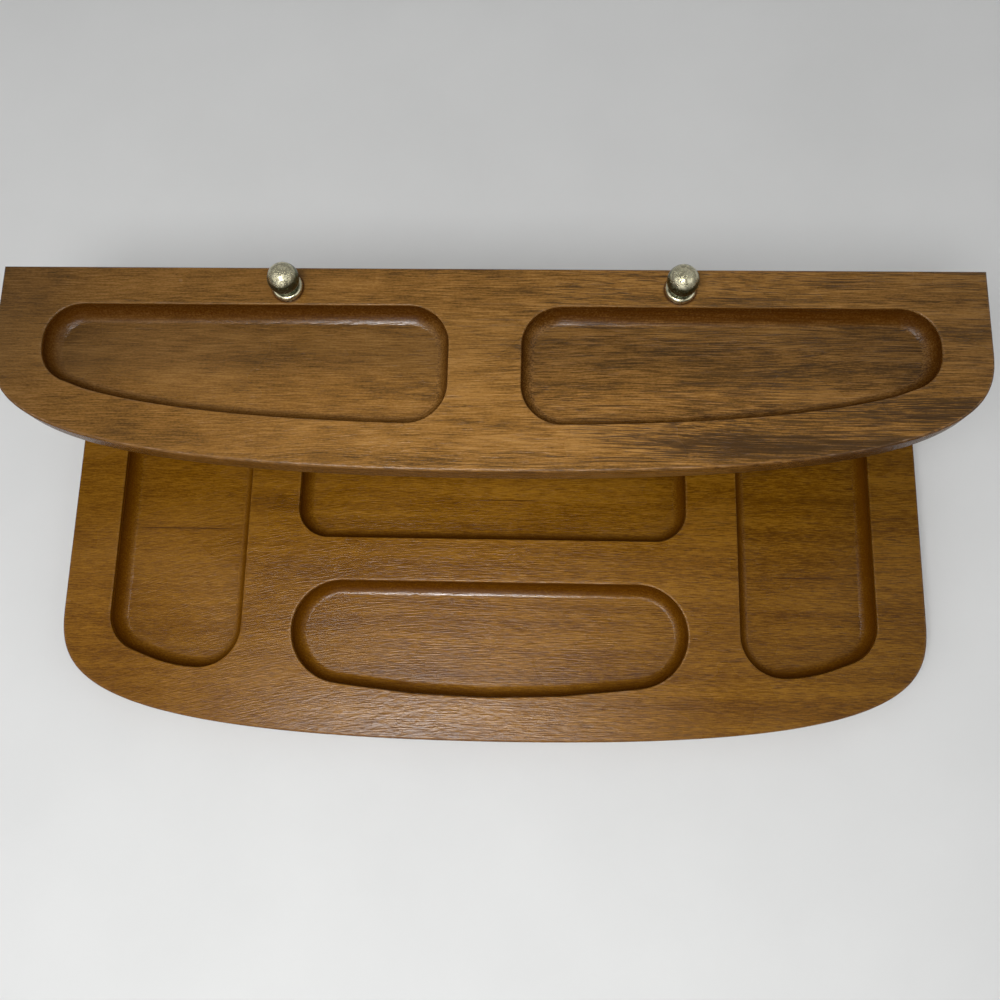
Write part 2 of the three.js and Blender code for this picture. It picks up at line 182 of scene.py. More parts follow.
# Wood of both boards: how strongly its marks show
GRAIN_WANDER = 9 * MM
LEAST_FIBRES = 0.5
SPECKLE_STRENGTH = 0.5
CLOUD_STRENGTH = 0.4
PLAIN_CROWD = 0.25
CLOUD_CROWD = 0.15
STREAK_CROWD = 0.9
PORE_SPAN = 0.06
STAIN_STRENGTH = 0.9
WEAR_STRENGTH = 0.8
CHIP_RANGE = (0.50, 0.68)
LEAST_CHIPS = 0.15

# Wood of both boards: relief and gloss. Strokes of the finish bend forward on the left, the front
# strip of the base is glossier around one middle, and pooled finish around another.
FIBRE_DEPTH = 0.04 * MM
STROKE_DEPTH = 0.14 * MM
STROKE_BEND = 1.2
RIPPLE_DEPTH = 0.25 * MM
GRIT_DEPTH = 0.06 * MM
WOOD_ROUGHNESS = (0.22, 0.30)
WOOD_GLOSS = 0.3
STAIN_GLOSS = 0.03
FULL_STAIN = 0.8
FRONT_SPAN = (-48 * MM, -68 * MM)
FRONT_MIDDLE = -22 * MM
FRONT_REACH = 120 * MM
FRONT_GLOSS = 0.21
POOL_MIDDLE = -8 * MM
POOL_SPAN = 75 * MM
POOL_GLOSS = 0.9
POOL_SMOOTHING = 0.2

# Wood of each board: tones, sizes of its fibres and pores along X, Y and Z, streaks as (centre y, half
# width, first x, x of full strength, last x, depth of tone), where its figure grows strong along X,
# veins as (y, first x, last x), painted light and shade along X from 0 to 1, partly the wood's own tone,
# and what changes with Y: painted shade towards the back and on compartment floors, and gloss
BASE_LOOK = {
    "name": "base_wood",
    "foot": "post",
    "tones": [(0.2, (0.115, 0.041, 0.001)), (0.5, (0.205, 0.082, 0.003)), (0.8, (0.31, 0.138, 0.009))],
    "dark_tone": (0.07, 0.023, 0.001),
    # Tone of the stain, also used for the painted contact shadow around each post
    "stain_tone": (0.092, 0.028, 0.001),
    "worn_tone": (0.42, 0.24, 0.11),
    "fibre_size": (0.0045, 0.00035, 0.00035),
    "fibre_strength": 1.8,
    "dash_size": (0.008, 0.0004, 0.0004),
    "pore_from": 0.63,
    "pore_strength": 0.6,
    "streaks": [(0.0125, 0.009, -0.099, -0.092, -0.070, 0.16)],
    "mottle": 0.15,
    "strong_from": (-0.2, 0.2),
    "least_strength": 0.45,
    "veins": [(0.0034, -0.143, -0.102), (0.0166, -0.010, 0.021), (-0.0129, 0.108, 0.138)],
    # Painted light and shade along X: lighter in the middle, darker towards the right; partly the wood's
    # own tone
    "light": [(0.0, 0.90), (0.2, 0.99), (0.5, 1.12), (0.8, 0.84), (1.0, 0.66)],
    # Painted shadow of the shelf: the base darker towards the back, under the shelf
    "back_span": (-0.020, 0.020),
    "back_shade": 0.84,
    "back_gloss": 0.35,
    "floor_span": (-0.03, 0.08),
    "floor_shade": 1.0,
}
SHELF_LOOK = {
    "name": "shelf_wood",
    "foot": "finial_collar",
    "tones": [(0.2, (0.095, 0.045, 0.009)), (0.5, (0.26, 0.118, 0.020)), (0.8, (0.40, 0.20, 0.050))],
    "dark_tone": (0.050, 0.023, 0.006),
    # Tone of the stain, also used for the painted contact shadow around each collar
    "stain_tone": (0.062, 0.018, 0.001),
    "worn_tone": (0.42, 0.27, 0.16),
    "fibre_size": (0.009, 0.00032, 0.00032),
    "fibre_strength": 1.8,
    "dash_size": (0.026, 0.00036, 0.00036),
    "pore_from": 0.61,
    "pore_strength": 0.75,
    "streaks": [
        (0.053, 0.007, 0.0, 0.05, 0.148, 0.08),
        (0.032, 0.010, 0.012, 0.03, 0.10, 0.08),
        (0.0475, 0.006, -0.105, -0.085, -0.04, 0.10),
        (0.017, 0.010, 0.02, 0.08, 0.2, 0.27),
        (0.0285, 0.005, 0.09, 0.14, 0.2, 0.16),
    ],
    "mottle": 0.35,
    "strong_from": (-0.08, 0.06),
    "least_strength": 0.3,
    "veins": [],
    # Painted light and shade along X: darker towards both ends; partly the wood's own tone
    "light": [(0.0, 0.48), (0.12, 0.76), (0.35, 1.0), (0.65, 1.02), (0.88, 0.86), (1.0, 0.68)],
    # Painted shade: the shelf darker towards its back
    "back_span": (0.030, 0.052),
    "back_shade": 0.82,
    "back_gloss": 1.0,
    # Painted shade: compartment floors darker towards the back
    "floor_span": (0.034, 0.048),
    "floor_shade": 0.76,
}

# Brass: its tones, the pits on it, and its tarnish with painted shade on the ball's underside and the
# collar's foot
BRASS_CLOUD = 2 * MM
BRASS_TONES = [(0.35, (0.58, 0.54, 0.36)), (0.65, (0.78, 0.73, 0.52))]
BRASS_ROUGHNESS = (0.20, 0.32)
PIT_SIZE = 0.6 * MM
PIT_RANGE = (0.50, 0.66)
PIT_TONE = (0.24, 0.22, 0.12)
PIT_STRENGTH = 0.5
PIT_DEPTH = 0.08 * MM
TARNISH_AND_SHADE_TONE = (0.07, 0.085, 0.04)
TARNISH_AND_SHADE_STRENGTH = 0.92

# Steel, felt and the table top
SPANGLE_SIZE = 1.2 * MM
SPANGLE_DEPTH = 0.02 * MM
STEEL_TONES = [(0.35, (0.42, 0.42, 0.40)), (0.65, (0.60, 0.60, 0.58))]
STEEL_ROUGHNESS = (0.28, 0.42)
FELT_MAT_SIZE = 0.6 * MM
FELT_DEPTH = 0.2 * MM
FELT_TONES = [(0.3, (0.030, 0.022, 0.017)), (0.7, (0.085, 0.065, 0.050))]
FELT_SHEEN = 0.4
TABLE_HALF = 4.0
TABLE_MOTTLE = 60 * MM
TABLE_TONES = [(0.3, (0.71, 0.715, 0.71)), (0.7, (0.74, 0.745, 0.74))]
TABLE_ROUGHNESS = 0.6
TABLE_GLOSS = 0.2

# Room light, as levels by height on the wall behind and in the room in front, and the plain backdrop
WALL_LIGHT = [(0.0, 0.15), (0.2, 0.30), (0.4, 0.50), (0.7, 0.34), (1.0, 0.22)]
ROOM_LIGHT = [(0.0, 0.08), (0.3, 0.12), (0.6, 0.20), (1.0, 0.22)]
WALL_SPAN = (-0.1, 0.4)
BACKDROP = (0.72, 0.72, 0.72, 1)

# Lamps: name, place, target, width, length and power
LAMPS = [
    ("key_panel", (-0.075, -0.22, 0.62), (-0.075, -0.22, 0), 0.26, 0.26, 2.5),
    ("front_window", (-0.25, -1.0, 0.62), (0, 0, 0.05), 0.9, 0.6, 2.2),
    ("left_fill", (-1.5, -0.5, 1.3), (0, 0, 0), 1.4, 1.4, 5.5),
    ("right_fill", (1.5, -0.5, 1.3), (0, 0, 0), 1.4, 1.4, 6),
]

# The photograph's camera; its place, turn and focal length were found from the boards' outlines
CAMERA_PLACE = Vector((18.07, -77.25, 403.07)) * MM
CAMERA_TURN = [math.radians(angle) for angle in (13.386, 1.869, 1.268)]
CAMERA_LENS = 36.72
CAMERA_SENSOR = 36.0
CAMERA_NEAR = 10 * MM

base_low, base_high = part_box("base_board")
shelf_low, shelf_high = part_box("shelf_board")
HALF_WIDTH = base_high.x
BACK_Y = base_high.y

# Each board, with the wear of its front edge and how far down a cove the stain holds
BASE = {
    "low": base_low,
    "high": base_high,
    "bow": BASE_BOW,
    "shoulder": BASE_SHOULDER,
    "well_depth": BASE_WELL_DEPTH,
    "edge_wear": 0.25,
    "side_hold": 1.8,
    "back_hold": 5.0,
}
SHELF = {
    "low": shelf_low,
    "high": shelf_high,
    "bow": SHELF_BOW,
    "shoulder": SHELF_SHOULDER,
    "well_depth": SHELF_WELL_DEPTH,
    "edge_wear": 0.6,
    "side_hold": 1.0,
    "back_hold": 2.5,
}


# Outlines, anticlockwise seen from above


def front_point(board, t):
    """Right half of a bowed front, from its straight side at t 0 to the middle at t 1."""
    front = board["low"].y
    side_end = front + board["bow"]
    heights = (side_end, side_end - board["shoulder"], front, front)
    weights = ((1 - t) ** 3, 3 * t * (1 - t) ** 2, 3 * t * t * (1 - t), t**3)
    y = sum(weight * height for weight, height in zip(weights, heights))
    return Vector((HALF_WIDTH * (1 - t**3), y))


def front_edge(board, x):
    return front_point(board, (1 - x / HALF_WIDTH) ** (1 / 3)).y


def corner_turn(corners, i):
    """Edges that meet at a corner, the turn between them, and the length that its arc takes."""
    x, y, radius = corners[i]
    before = corners[i - 1]
    after = corners[(i + 1) % len(corners)]
    arriving = Vector((x - before[0], y - before[1]))
    leaving = Vector((after[0] - x, after[1] - y))
    turn = math.atan2(arriving.cross(leaving), arriving.dot(leaving))
    return arriving, leaving, turn, radius * math.tan(turn / 2)


def rounded(corners):
    """Closed outline through corners (x, y, radius), each rounded by an arc."""
    turns = [corner_turn(corners, i) for i in range(len(corners))]
    points = []
    for i, (x, y, radius) in enumerate(corners):
        arriving, leaving, turn, tangent = turns[i]
        if radius == 0:
            points.append(Vector((x, y)))
            continue
        after = turns[(i + 1) % len(corners)]
        shrink = min(
            1,
            arriving.length / (turns[i - 1][3] + tangent),
            leaving.length / (tangent + after[3]),
        )
        radius *= shrink
        heading = math.atan2(arriving.y, arriving.x)
        start = Vector((x, y)) - arriving.normalized() * tangent * shrink
        centre = start + radius * Vector((-math.sin(heading), math.cos(heading)))
        steps = max(LEAST_ARC_STEPS, math.ceil(turn / ARC_STEP))
        for step in range(steps + 1):
            angle = heading - math.pi / 2 + turn * step / steps
            points.append(centre + radius * Vector((math.cos(angle), math.sin(angle))))
    befores = points[-1:] + points[:-1]
    return [p for p, before in zip(points, befores) if (p - before).length > SAME_POINT]


def inset(points, distance):
    """The outline moved inwards, or outwards where the distance is negative."""
    moved = []
    for i, point in enumerate(points):
        arriving = (point - points[i - 1]).normalized()
        leaving = (points[(i + 1) % len(points)] - point).normalized()
        inward = Vector((-arriving.y - leaving.y, arriving.x + leaving.x)).normalized()
        moved.append(point + inward * (distance / inward.dot(Vector((-leaving.y, leaving.x)))))
    return moved


def mirrored(corners):
    return [(-x, y, radius) for x, y, radius in reversed(corners)]


def circle(centre, radius, sides=HOLE_SIDES):
    angles = [2 * math.pi * i / sides for i in range(sides)]
    return [centre + radius * Vector((math.cos(a), math.sin(a))) for a in angles]


def board_outline(board):
    right = [front_point(board, 1 - i / BOW_SEGMENTS) for i in range(BOW_SEGMENTS + 1)]
    left = [Vector((-p.x, p.y)) for p in reversed(right[1:])]
    corners = [(p.x, p.y, 0) for p in left + right]
    return rounded(corners + [(HALF_WIDTH, BACK_Y, 0), (-HALF_WIDTH, BACK_Y, 0)])


def shelf_well():
    """Right compartment of the shelf; its front edge follows the bow."""
    inner = SHELF_BRIDGE / 2
    outer = HALF_WIDTH - SHELF_END_BORDER
    back = BACK_Y - SHELF_BACK_BORDER
    first = inner + SHELF_WELL_INNER_RADIUS * FIRST_POINT_RADII
    last = outer - SHELF_WELL_OUTER_RADIUS * LAST_POINT_RADII
    along = [first + (last - first) * i / (WELL_FRONT_POINTS - 1) for i in range(WELL_FRONT_POINTS)]
    return [
        (inner, front_edge(SHELF, inner) + SHELF_FRONT_BORDER, SHELF_WELL_INNER_RADIUS),
        *[(x, front_edge(SHELF, x) + SHELF_FRONT_BORDER, 0) for x in along],
        (outer, front_edge(SHELF, outer) + SHELF_FRONT_BORDER, SHELF_WELL_OUTER_RADIUS),
        (outer, back, SHELF_WELL_OUTER_RADIUS),
        (inner, back, SHELF_WELL_INNER_RADIUS),
    ]


def side_well():
    """Right end compartment of the base; its front edge slants and swells with the bow."""
    outer = HALF_WIDTH - BASE_END_BORDER
    inner = outer - SIDE_WELL_WIDTH
    inner_y = front_edge(BASE, inner) + SIDE_WELL_INNER_BORDER
    outer_y = front_edge(BASE, outer) + SIDE_WELL_OUTER_BORDER
    swell_y = (inner_y + outer_y) / 2 - SIDE_WELL_BOW
    back = BACK_Y - BASE_BACK_BORDER
    return [
        (inner, inner_y, SIDE_WELL_INNER_RADIUS),
        ((inner + outer) / 2, swell_y, SIDE_WELL_BOW_RADIUS),
        (outer, outer_y, SIDE_WELL_OUTER_RADIUS),
        (outer, back, SIDE_WELL_BACK_RADIUS),
        (inner, back, SIDE_WELL_BACK_RADIUS),
    ]


def middle_half_width():
    return HALF_WIDTH - BASE_END_BORDER - SIDE_WELL_WIDTH - SIDE_BRIDGE


def front_well():
    """Front compartment of the base, with round ends and a bowed front edge."""
    half = middle_half_width()
    front = base_low.y + BASE_FRONT_BORDER
    rear = front + FRONT_WELL_LENGTH
    return [
        (-half, front + FRONT_WELL_BOW, FRONT_WELL_FRONT_RADIUS),
        (0, front, FRONT_WELL_BOW_RADIUS),
        (half, front + FRONT_WELL_BOW, FRONT_WELL_FRONT_RADIUS),
        (half, rear, FRONT_WELL_BACK_RADIUS),
        (-half, rear, FRONT_WELL_BACK_RADIUS),
    ]


def middle_well():
    """Compartment of the base that lies mostly under the shelf."""
    half = middle_half_width()
    front = base_low.y + BASE_FRONT_BORDER + FRONT_WELL_LENGTH + MIDDLE_BRIDGE
    back = BACK_Y - BASE_BACK_BORDER
    return [
        (-half, front, MIDDLE_WELL_RADIUS),
        (half, front, MIDDLE_WELL_RADIUS),
        (half, back, MIDDLE_WELL_RADIUS),
        (-half, back, MIDDLE_WELL_RADIUS),
    ]


# Meshes


class Shell:
    """A mesh gathered ring by ring; each vertex also carries levels of the marks that finishes use."""

    def __init__(self):
        self.points = []
        self.faces = []
        self.marks = {"stain": [], "wear": [], "grit": [], "pool": [], "floor": []}

    def ring(self, outline, height, **levels):
        start = len(self.points)
        heights = height if isinstance(height, list) else [height] * len(outline)
        self.points += [(p.x, p.y, z) for p, z in zip(outline, heights)]
        for key, values in self.marks.items():
            level = levels.get(key, 0.0)
            values += level if isinstance(level, list) else [level] * len(outline)
        return list(range(start, len(self.points)))

    def bridge(self, first, second):
        """Faces between two rings: outward if the second is above, into a hollow if below."""
        for i in range(len(first)):
            j = (i + 1) % len(first)
            self.faces.append((first[i], first[j], second[j], second[i]))

    def chain(self, rings):
        for first, second in zip(rings, rings[1:]):
            self.bridge(first, second)

    def cap(self, rings, upward):
        """Flat face inside the first ring, with the other rings as holes in it."""
        order = [index for ring in rings for index in ring]
        loops = [[Vector(self.points[index]) for index in ring] for ring in rings]
        for triangle in tessellate_polygon(loops):
            a, b, c = (order[i] for i in triangle)
            pa, pb, pc = (Vector(self.points[i]) for i in (a, b, c))
            faces_up = (pb - pa).cross(pc - pa).z > 0
            self.faces.append((a, b, c) if faces_up == upward else (c, b, a))

    def mesh(self, name):
        made = bpy.data.meshes.new(name)
        made.from_pydata(self.points, [], self.faces)
        made.shade_smooth()
        made.set_sharp_from_angle(angle=SHARP_ANGLE)
        for key, values in self.marks.items():
            attribute = made.attributes.new(key, "FLOAT", "POINT")
            attribute.data.foreach_set("value", values)
        return made


def add_well(shell, board, corners, rim_wear):
    """Cuts a routed compartment: eased rim, upright wall, tool step, cove and flat floor."""
    outline = rounded(corners)
    top = board["high"].z
    floor = top - board["well_depth"]
    cove = COVE_RADIUS - TOOL_STEP
    arc = cove / (1 - math.cos(COVE_SWEEP))
    arc_top = floor + arc * math.sin(COVE_SWEEP)
    back = max(point.y for point in outline)
    back_gain = board["back_hold"] - board["side_hold"]
    nearness = [max(0, 1 - (back - point.y) / POOL_REACH) for point in outline]
    rings = [shell.ring(inset(outline, -RIM_EASE - FLAT_MARGIN), top)]
    for step in range(EASE_STEPS + 1):
        angle = math.pi / 2 * step / EASE_STEPS
        out = RIM_EASE * (1 - math.sin(angle))
        drop = RIM_EASE * (1 - math.cos(angle))
        rings.append(shell.ring(inset(outline, -out), top - drop, wear=rim_wear))
    rings.append(shell.ring(outline, top - RIM_EASE - FLAT_MARGIN, stain=1.0, grit=WALL_GRIT))
    rings.append(shell.ring(outline, arc_top, stain=1.0, grit=WALL_GRIT))
    for step in range(COVE_STEPS + 1):
        angle = COVE_SWEEP * step / COVE_STEPS
        reach = arc * (1 - math.cos(angle))
        height = arc_top - arc * math.sin(angle)
        part = reach / cove
        pool = [part**POOL_HOLD * near for near in nearness]
        stain = [1 - part ** (board["side_hold"] + back_gain * near) for near in nearness]
        marks = {"stain": stain, "grit": 1.0, "pool": pool, "floor": part}
        rings.append(shell.ring(inset(outline, TOOL_STEP + reach), height, **marks))
    floor_edge = inset(outline, COVE_RADIUS + FLAT_MARGIN)
    rings.append(shell.ring(floor_edge, floor, grit=WALL_GRIT, floor=1.0))
    rings.append(shell.ring(inset(outline, 2 * COVE_RADIUS), floor, floor=1.0))
    shell.chain(rings)
    shell.cap([rings[-1]], upward=True)
    return rings[0]


def add_rod_hole(shell, board, centre, bore_depth):
    """Hole through a board for a tie rod, with a counterbore below where a depth is given."""
    hole = circle(centre, ROD_HOLE_RADIUS)
    top = shell.ring(hole, board["high"].z)
    if bore_depth == 0:
        bottom = shell.ring(hole, board["low"].z)
        shell.bridge(top, bottom)
        return top, bottom
    seat = board["low"].z + bore_depth
    wide = circle(centre, COUNTERBORE_RADIUS)
    narrow_end = shell.ring(hole, seat, stain=BORE_STAIN)
    wide_end = shell.ring(wide, seat, stain=BORE_STAIN)
    bottom = shell.ring(wide, board["low"].z)
    shell.bridge(top, narrow_end)
    shell.cap([wide_end, narrow_end], upward=False)
    shell.bridge(wide_end, bottom)
    return top, bottom


def board_shell(board, wells, bore_depth):
    shell = Shell()
    outline = board_outline(board)
    low = board["low"].z
    top = board["high"].z
    side_end = board["low"].y + board["bow"]
    edge_wear = [board["edge_wear"] * (1.0 if p.y < side_end else BACK_WEAR) for p in outline]
    rings = [shell.ring(inset(outline, BOTTOM_ROUND + FLAT_MARGIN), low, stain=SIDE_STAIN)]
    for step in range(ROUND_STEPS + 1):
        angle = math.pi / 2 * step / ROUND_STEPS
        reach = BOTTOM_ROUND * (1 - math.sin(angle))
        height = low + BOTTOM_ROUND * (1 - math.cos(angle))
        rings.append(shell.ring(inset(outline, reach), height, stain=SIDE_STAIN))
    for step in range(EASE_STEPS + 1):
        angle = math.pi / 2 * step / EASE_STEPS
        reach = TOP_EASE * (1 - math.cos(angle))
        height = top - TOP_EASE * (1 - math.sin(angle))
        part = step / EASE_STEPS
        stain = SIDE_STAIN * (1 - part)
        wear = edge_wear if step == EASE_STEPS - 1 else 0.0
        rings.append(shell.ring(inset(outline, reach), height, stain=stain, wear=wear))
    rings.append(shell.ring(inset(outline, TOP_EASE + FLAT_MARGIN), top))
    shell.chain(rings)
    rims = [add_well(shell, board, corners, rim_wear) for corners, rim_wear in wells]
    ends = [add_rod_hole(shell, board, column_axis(side), bore_depth) for side in SIDES]
    shell.cap([rings[-1]] + rims + [top_end for top_end, _ in ends], upward=True)
    shell.cap([rings[0]] + [bottom_end for _, bottom_end in ends], upward=False)
    return shell


def column_axis(side):
    low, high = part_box(f"{side}_post")
    return ((low + high) / 2).xy


def turned_shell(axis, profile, closed=False, sides=TURNED_SIDES):
    """Turned piece about an upright axis from (radius, height) points; a radius of 0 is a pole."""
    shell = Shell()
    rings = []
    for radius, height in profile:
        if radius == 0:
            rings.append(shell.ring([axis], height))
        else:
            rings.append(shell.ring(circle(axis, radius, sides), height))
    if closed:
        rings.append(rings[0])
    for first, second in zip(rings, rings[1:]):
        if len(first) > 1 and len(second) > 1:
            shell.bridge(first, second)
        else:
            pole, rim = (first, second) if len(first) == 1 else (second, first)
            for i in range(len(rim)):
                edge = (rim[i], rim[(i + 1) % len(rim)])
                shell.faces.append((*edge, pole[0]) if rim is first else (edge[1], edge[0], pole[0]))
    return shell


def arc_points(centre_radius, centre_height, radius, start, end, steps):
    """Profile points on an arc, angles in degrees: 0 points outwards and 90 up."""
    points = []
    for i in range(steps + 1):
        angle = math.radians(start + (end - start) * i / steps)
        out = centre_radius + radius * math.cos(angle)
        up = centre_height + radius * math.sin(angle)
        points.append((out, up))
    return points


def ball_shell(side):
    """Ball on a short neck; below it the spigot that carries the collar, and the threaded bore."""
    low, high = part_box(f"{side}_finial_ball")
    collar_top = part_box(f"{side}_finial_collar")[1].z
    radius = (high.x - low.x) / 2
    neck = radius - NECK_STEP
    centre = high.z - radius
    spigot = THREAD_RADIUS + SPIGOT_WALL
    lip = spigot + LIP_OVERHANG
    bore_top = centre + BORE_PAST_CENTRE
    start = -math.degrees(math.acos(neck / radius))
    profile = [
        (0, bore_top),
        (THREAD_RADIUS, bore_top),
        (THREAD_RADIUS, low.z),
        (lip, low.z),
        (lip, low.z + LIP_THICKNESS),
        (spigot, low.z + LIP_THICKNESS),
        (spigot, collar_top),
    ]
    fillet_out = neck + NECK_FILLET
    fillet_up = collar_top + NECK_FILLET
    profile += arc_points(fillet_out, fillet_up, NECK_FILLET, 270, 180, EASE_STEPS)
    profile += arc_points(0, centre, radius, start, 90, BALL_STEPS)[:-1]
    profile.append((0, high.z))
    shell = turned_shell(column_axis(side), profile)
    # Tarnish and painted shade on the lower ball, darker towards the bottom
    for i, point in enumerate(shell.points):
        above = (point[2] - centre) / radius
        shell.marks["stain"][i] = min(1, max(0, (TARNISH_AND_SHADE_START - above) / TARNISH_AND_SHADE_SPAN))
        shell.marks["grit"][i] = 1.0
    return shell


def collar_shell(side):
    """Ring under the ball, recessed below for the spigot's lip."""
    low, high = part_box(f"{side}_finial_collar")
    radius = (high.x - low.x) / 2
    bore = THREAD_RADIUS + SPIGOT_WALL + SPIGOT_CLEARANCE
    recess = bore + LIP_OVERHANG
    edge = COLLAR_EDGE_RADIUS
    profile = [(recess, low.z), (radius - COLLAR_FOOT_EASE, low.z), (radius, low.z + COLLAR_FOOT_EASE)]
    profile += arc_points(radius - edge, high.z - edge, edge, 0, 90, ROUND_STEPS)
    profile += [(bore, high.z), (bore, low.z + COLLAR_RECESS), (recess, low.z + COLLAR_RECESS)]
    shell = turned_shell(column_axis(side), profile, closed=True)
    # Painted contact shadow on the collar's foot, darker towards the bottom
    for i, point in enumerate(shell.points):
        shell.marks["stain"][i] = max(0, 1 - (point[2] - low.z) / COLLAR_FOOT_SHADOW)
    return shell


def post_shell(side):
    low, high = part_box(f"{side}_post")
    radius = (high.x - low.x) / 2
    profile = [
        (POST_BORE_RADIUS, low.z),
        (radius - POST_CHAMFER, low.z),
        (radius, low.z + POST_CHAMFER),
        (radius, high.z - POST_CHAMFER),
        (radius - POST_CHAMFER, high.z),
        (POST_BORE_RADIUS, high.z),
    ]
    return turned_shell(column_axis(side), profile, closed=True)


def thread_points(start, turns, root, crest):
    """Profile points of a rolled thread from its first root upwards."""
    points = []
    for turn in range(turns):
        foot = start + turn * THREAD_PITCH
        points += [(crest, foot + THREAD_PITCH / 2), (root, foot + THREAD_PITCH)]
    return points


def rod_shell(side):
    """Tie rod with threads at both ends."""
    low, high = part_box(f"{side}_tie_rod")
    crest = (high.x - low.x) / 2
    root = crest - THREAD_DEPTH
    turns = round(THREADED_LENGTH / THREAD_PITCH)
    lower_end = low.z + turns * THREAD_PITCH
    upper_start = high.z - turns * THREAD_PITCH
    profile = [(0, low.z), (root, low.z)]
    profile += thread_points(low.z, turns, root, crest)
    profile += [(crest, lower_end + THREAD_PITCH / 2), (crest, upper_start - THREAD_PITCH / 2)]
    profile.append((root, upper_start))
    profile += thread_points(upper_start, turns, root, crest)
    profile.append((0, high.z))
    return turned_shell(column_axis(side), profile, sides=HOLE_SIDES)


def washer_shell(side):
    low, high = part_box(f"{side}_rod_washer")
    radius = (high.x - low.x) / 2
    profile = [
        (ROD_HOLE_RADIUS, low.z),
        (radius - WASHER_EASE, low.z),
        (radius, low.z + WASHER_EASE),
        (radius, high.z - WASHER_EASE),
        (radius - WASHER_EASE, high.z),
        (ROD_HOLE_RADIUS, high.z),
    ]
    return turned_shell(column_axis(side), profile, closed=True)


def nut_shell(side):
    """Hexagon nut whose corners are chamfered by a cone at both ends."""
    low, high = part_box(f"{side}_rod_nut")
    axis = column_axis(side)
    corner = (high.x - low.x) / 2
    flat = corner * math.cos(math.pi / 6)
    rim = []
    for i in range(HOLE_SIDES):
        angle = 2 * math.pi * i / HOLE_SIDES
        from_corner = (angle + math.pi / 6) % (math.pi / 3) - math.pi / 6
        reach = flat / math.cos(math.pi / 6 - abs(from_corner))
        rim.append(axis + reach * Vector((math.cos(angle), math.sin(angle))))
    drops = [NUT_CHAMFER_SLOPE * ((p - axis).length - flat) for p in rim]
    shell = Shell()
    inner_low = shell.ring(circle(axis, THREAD_RADIUS), low.z)
    inner_high = shell.ring(circle(axis, THREAD_RADIUS), high.z)
    rings = [
        inner_low,
        shell.ring(circle(axis, flat), low.z),
        shell.ring(rim, [low.z + drop for drop in drops]),
        shell.ring(rim, [high.z - drop for drop in drops]),
        shell.ring(circle(axis, flat), high.z),
        inner_high,
        inner_low,
    ]
    shell.chain(rings)
    return shell


def felt_shell(node):
    """Pressed felt disc with a soft, slightly ragged edge."""
    low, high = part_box(node)
    axis = ((low + high) / 2).xy
    radius = (high.x - low.x) / 2
    edge = FELT_EDGE_RADIUS
    profile = [(0, low.z), (radius / 2, low.z)]
    profile += arc_points(radius - edge, low.z + edge, edge, -90, 0, EASE_STEPS)
    profile += [(radius, high.z), (radius / 2, high.z), (0, high.z)]
    shell = turned_shell(axis, profile)
    for i, (x, y, z) in enumerate(shell.points):
        out = Vector((x, y)) - axis
        if out.length > radius - edge:
            angle = math.atan2(out.y, out.x)
            fine = math.sin(FELT_FINE_WAVES * angle)
            coarse = math.sin(FELT_COARSE_WAVES * angle + FELT_PHASE)
            moved = axis + out * (1 + FELT_RAGGEDNESS * (fine * coarse - 1) / radius)
            shell.points[i] = (moved.x, moved.y, z)
    return shell


# Finishes


class Nodes:
    """Helper for one node tree; most calls add nodes and give back an output socket."""

    def __init__(self, tree):
        self.tree = tree
        self.tree.nodes.clear()

    def add(self, kind, inputs=None, **settings):
        node = self.tree.nodes.new(kind)
        for key, value in settings.items():
            setattr(node, key, value)
        for key, value in (inputs or {}).items():
            if isinstance(value, bpy.types.NodeSocket):
                self.tree.links.new(value, node.inputs[key])
            else:
                node.inputs[key].default_value = value
        return node

    def calc(self, operation, first, second=0.0):
        return self.add("ShaderNodeMath", {0: first, 1: second}, operation=operation).outputs[0]

    def times(self, first, *others):
        """Product of two or more values."""
        for other in others:
            first = self.calc("MULTIPLY", first, other)
        return first

    def ease(self, value, low, high, to_low=0.0, to_high=1.0):
        """Smooth step from one level to another as the value goes from low to high."""
        inputs = {"Value": value, "From Min": low, "From Max": high, "To Min": to_low, "To Max": to_high}
        return self.add("ShaderNodeMapRange", inputs, interpolation_type="SMOOTHSTEP").outputs[0]

    def ramp(self, factor, stops):
        node = self.add("ShaderNodeValToRGB", {"Fac": factor})
        elements = node.color_ramp.elements
        elements.remove(elements[1])
        for i, (position, colour) in enumerate(stops):
            element = elements[0] if i == 0 else elements.new(position)
            element.position = position
            element.color = (*colour, 1)
        return node.outputs[0]

    def blend(self, factor, first, second):
        """Mix of two colours, which are inputs 6 and 7 of the mix node and come out of output 2."""
        node = self.add("ShaderNodeMix", data_type="RGBA")
        for number, value in ((0, factor), (6, first), (7, second)):
            socket = node.inputs[number]
            if isinstance(value, bpy.types.NodeSocket):
                self.tree.links.new(value, socket)
            else:
                socket.default_value = value if isinstance(value, float) else (*value, 1)
        return node.outputs[2]

    def axis(self, letter, place):
        return self.add("ShaderNodeSeparateXYZ", {0: place}).outputs[letter]


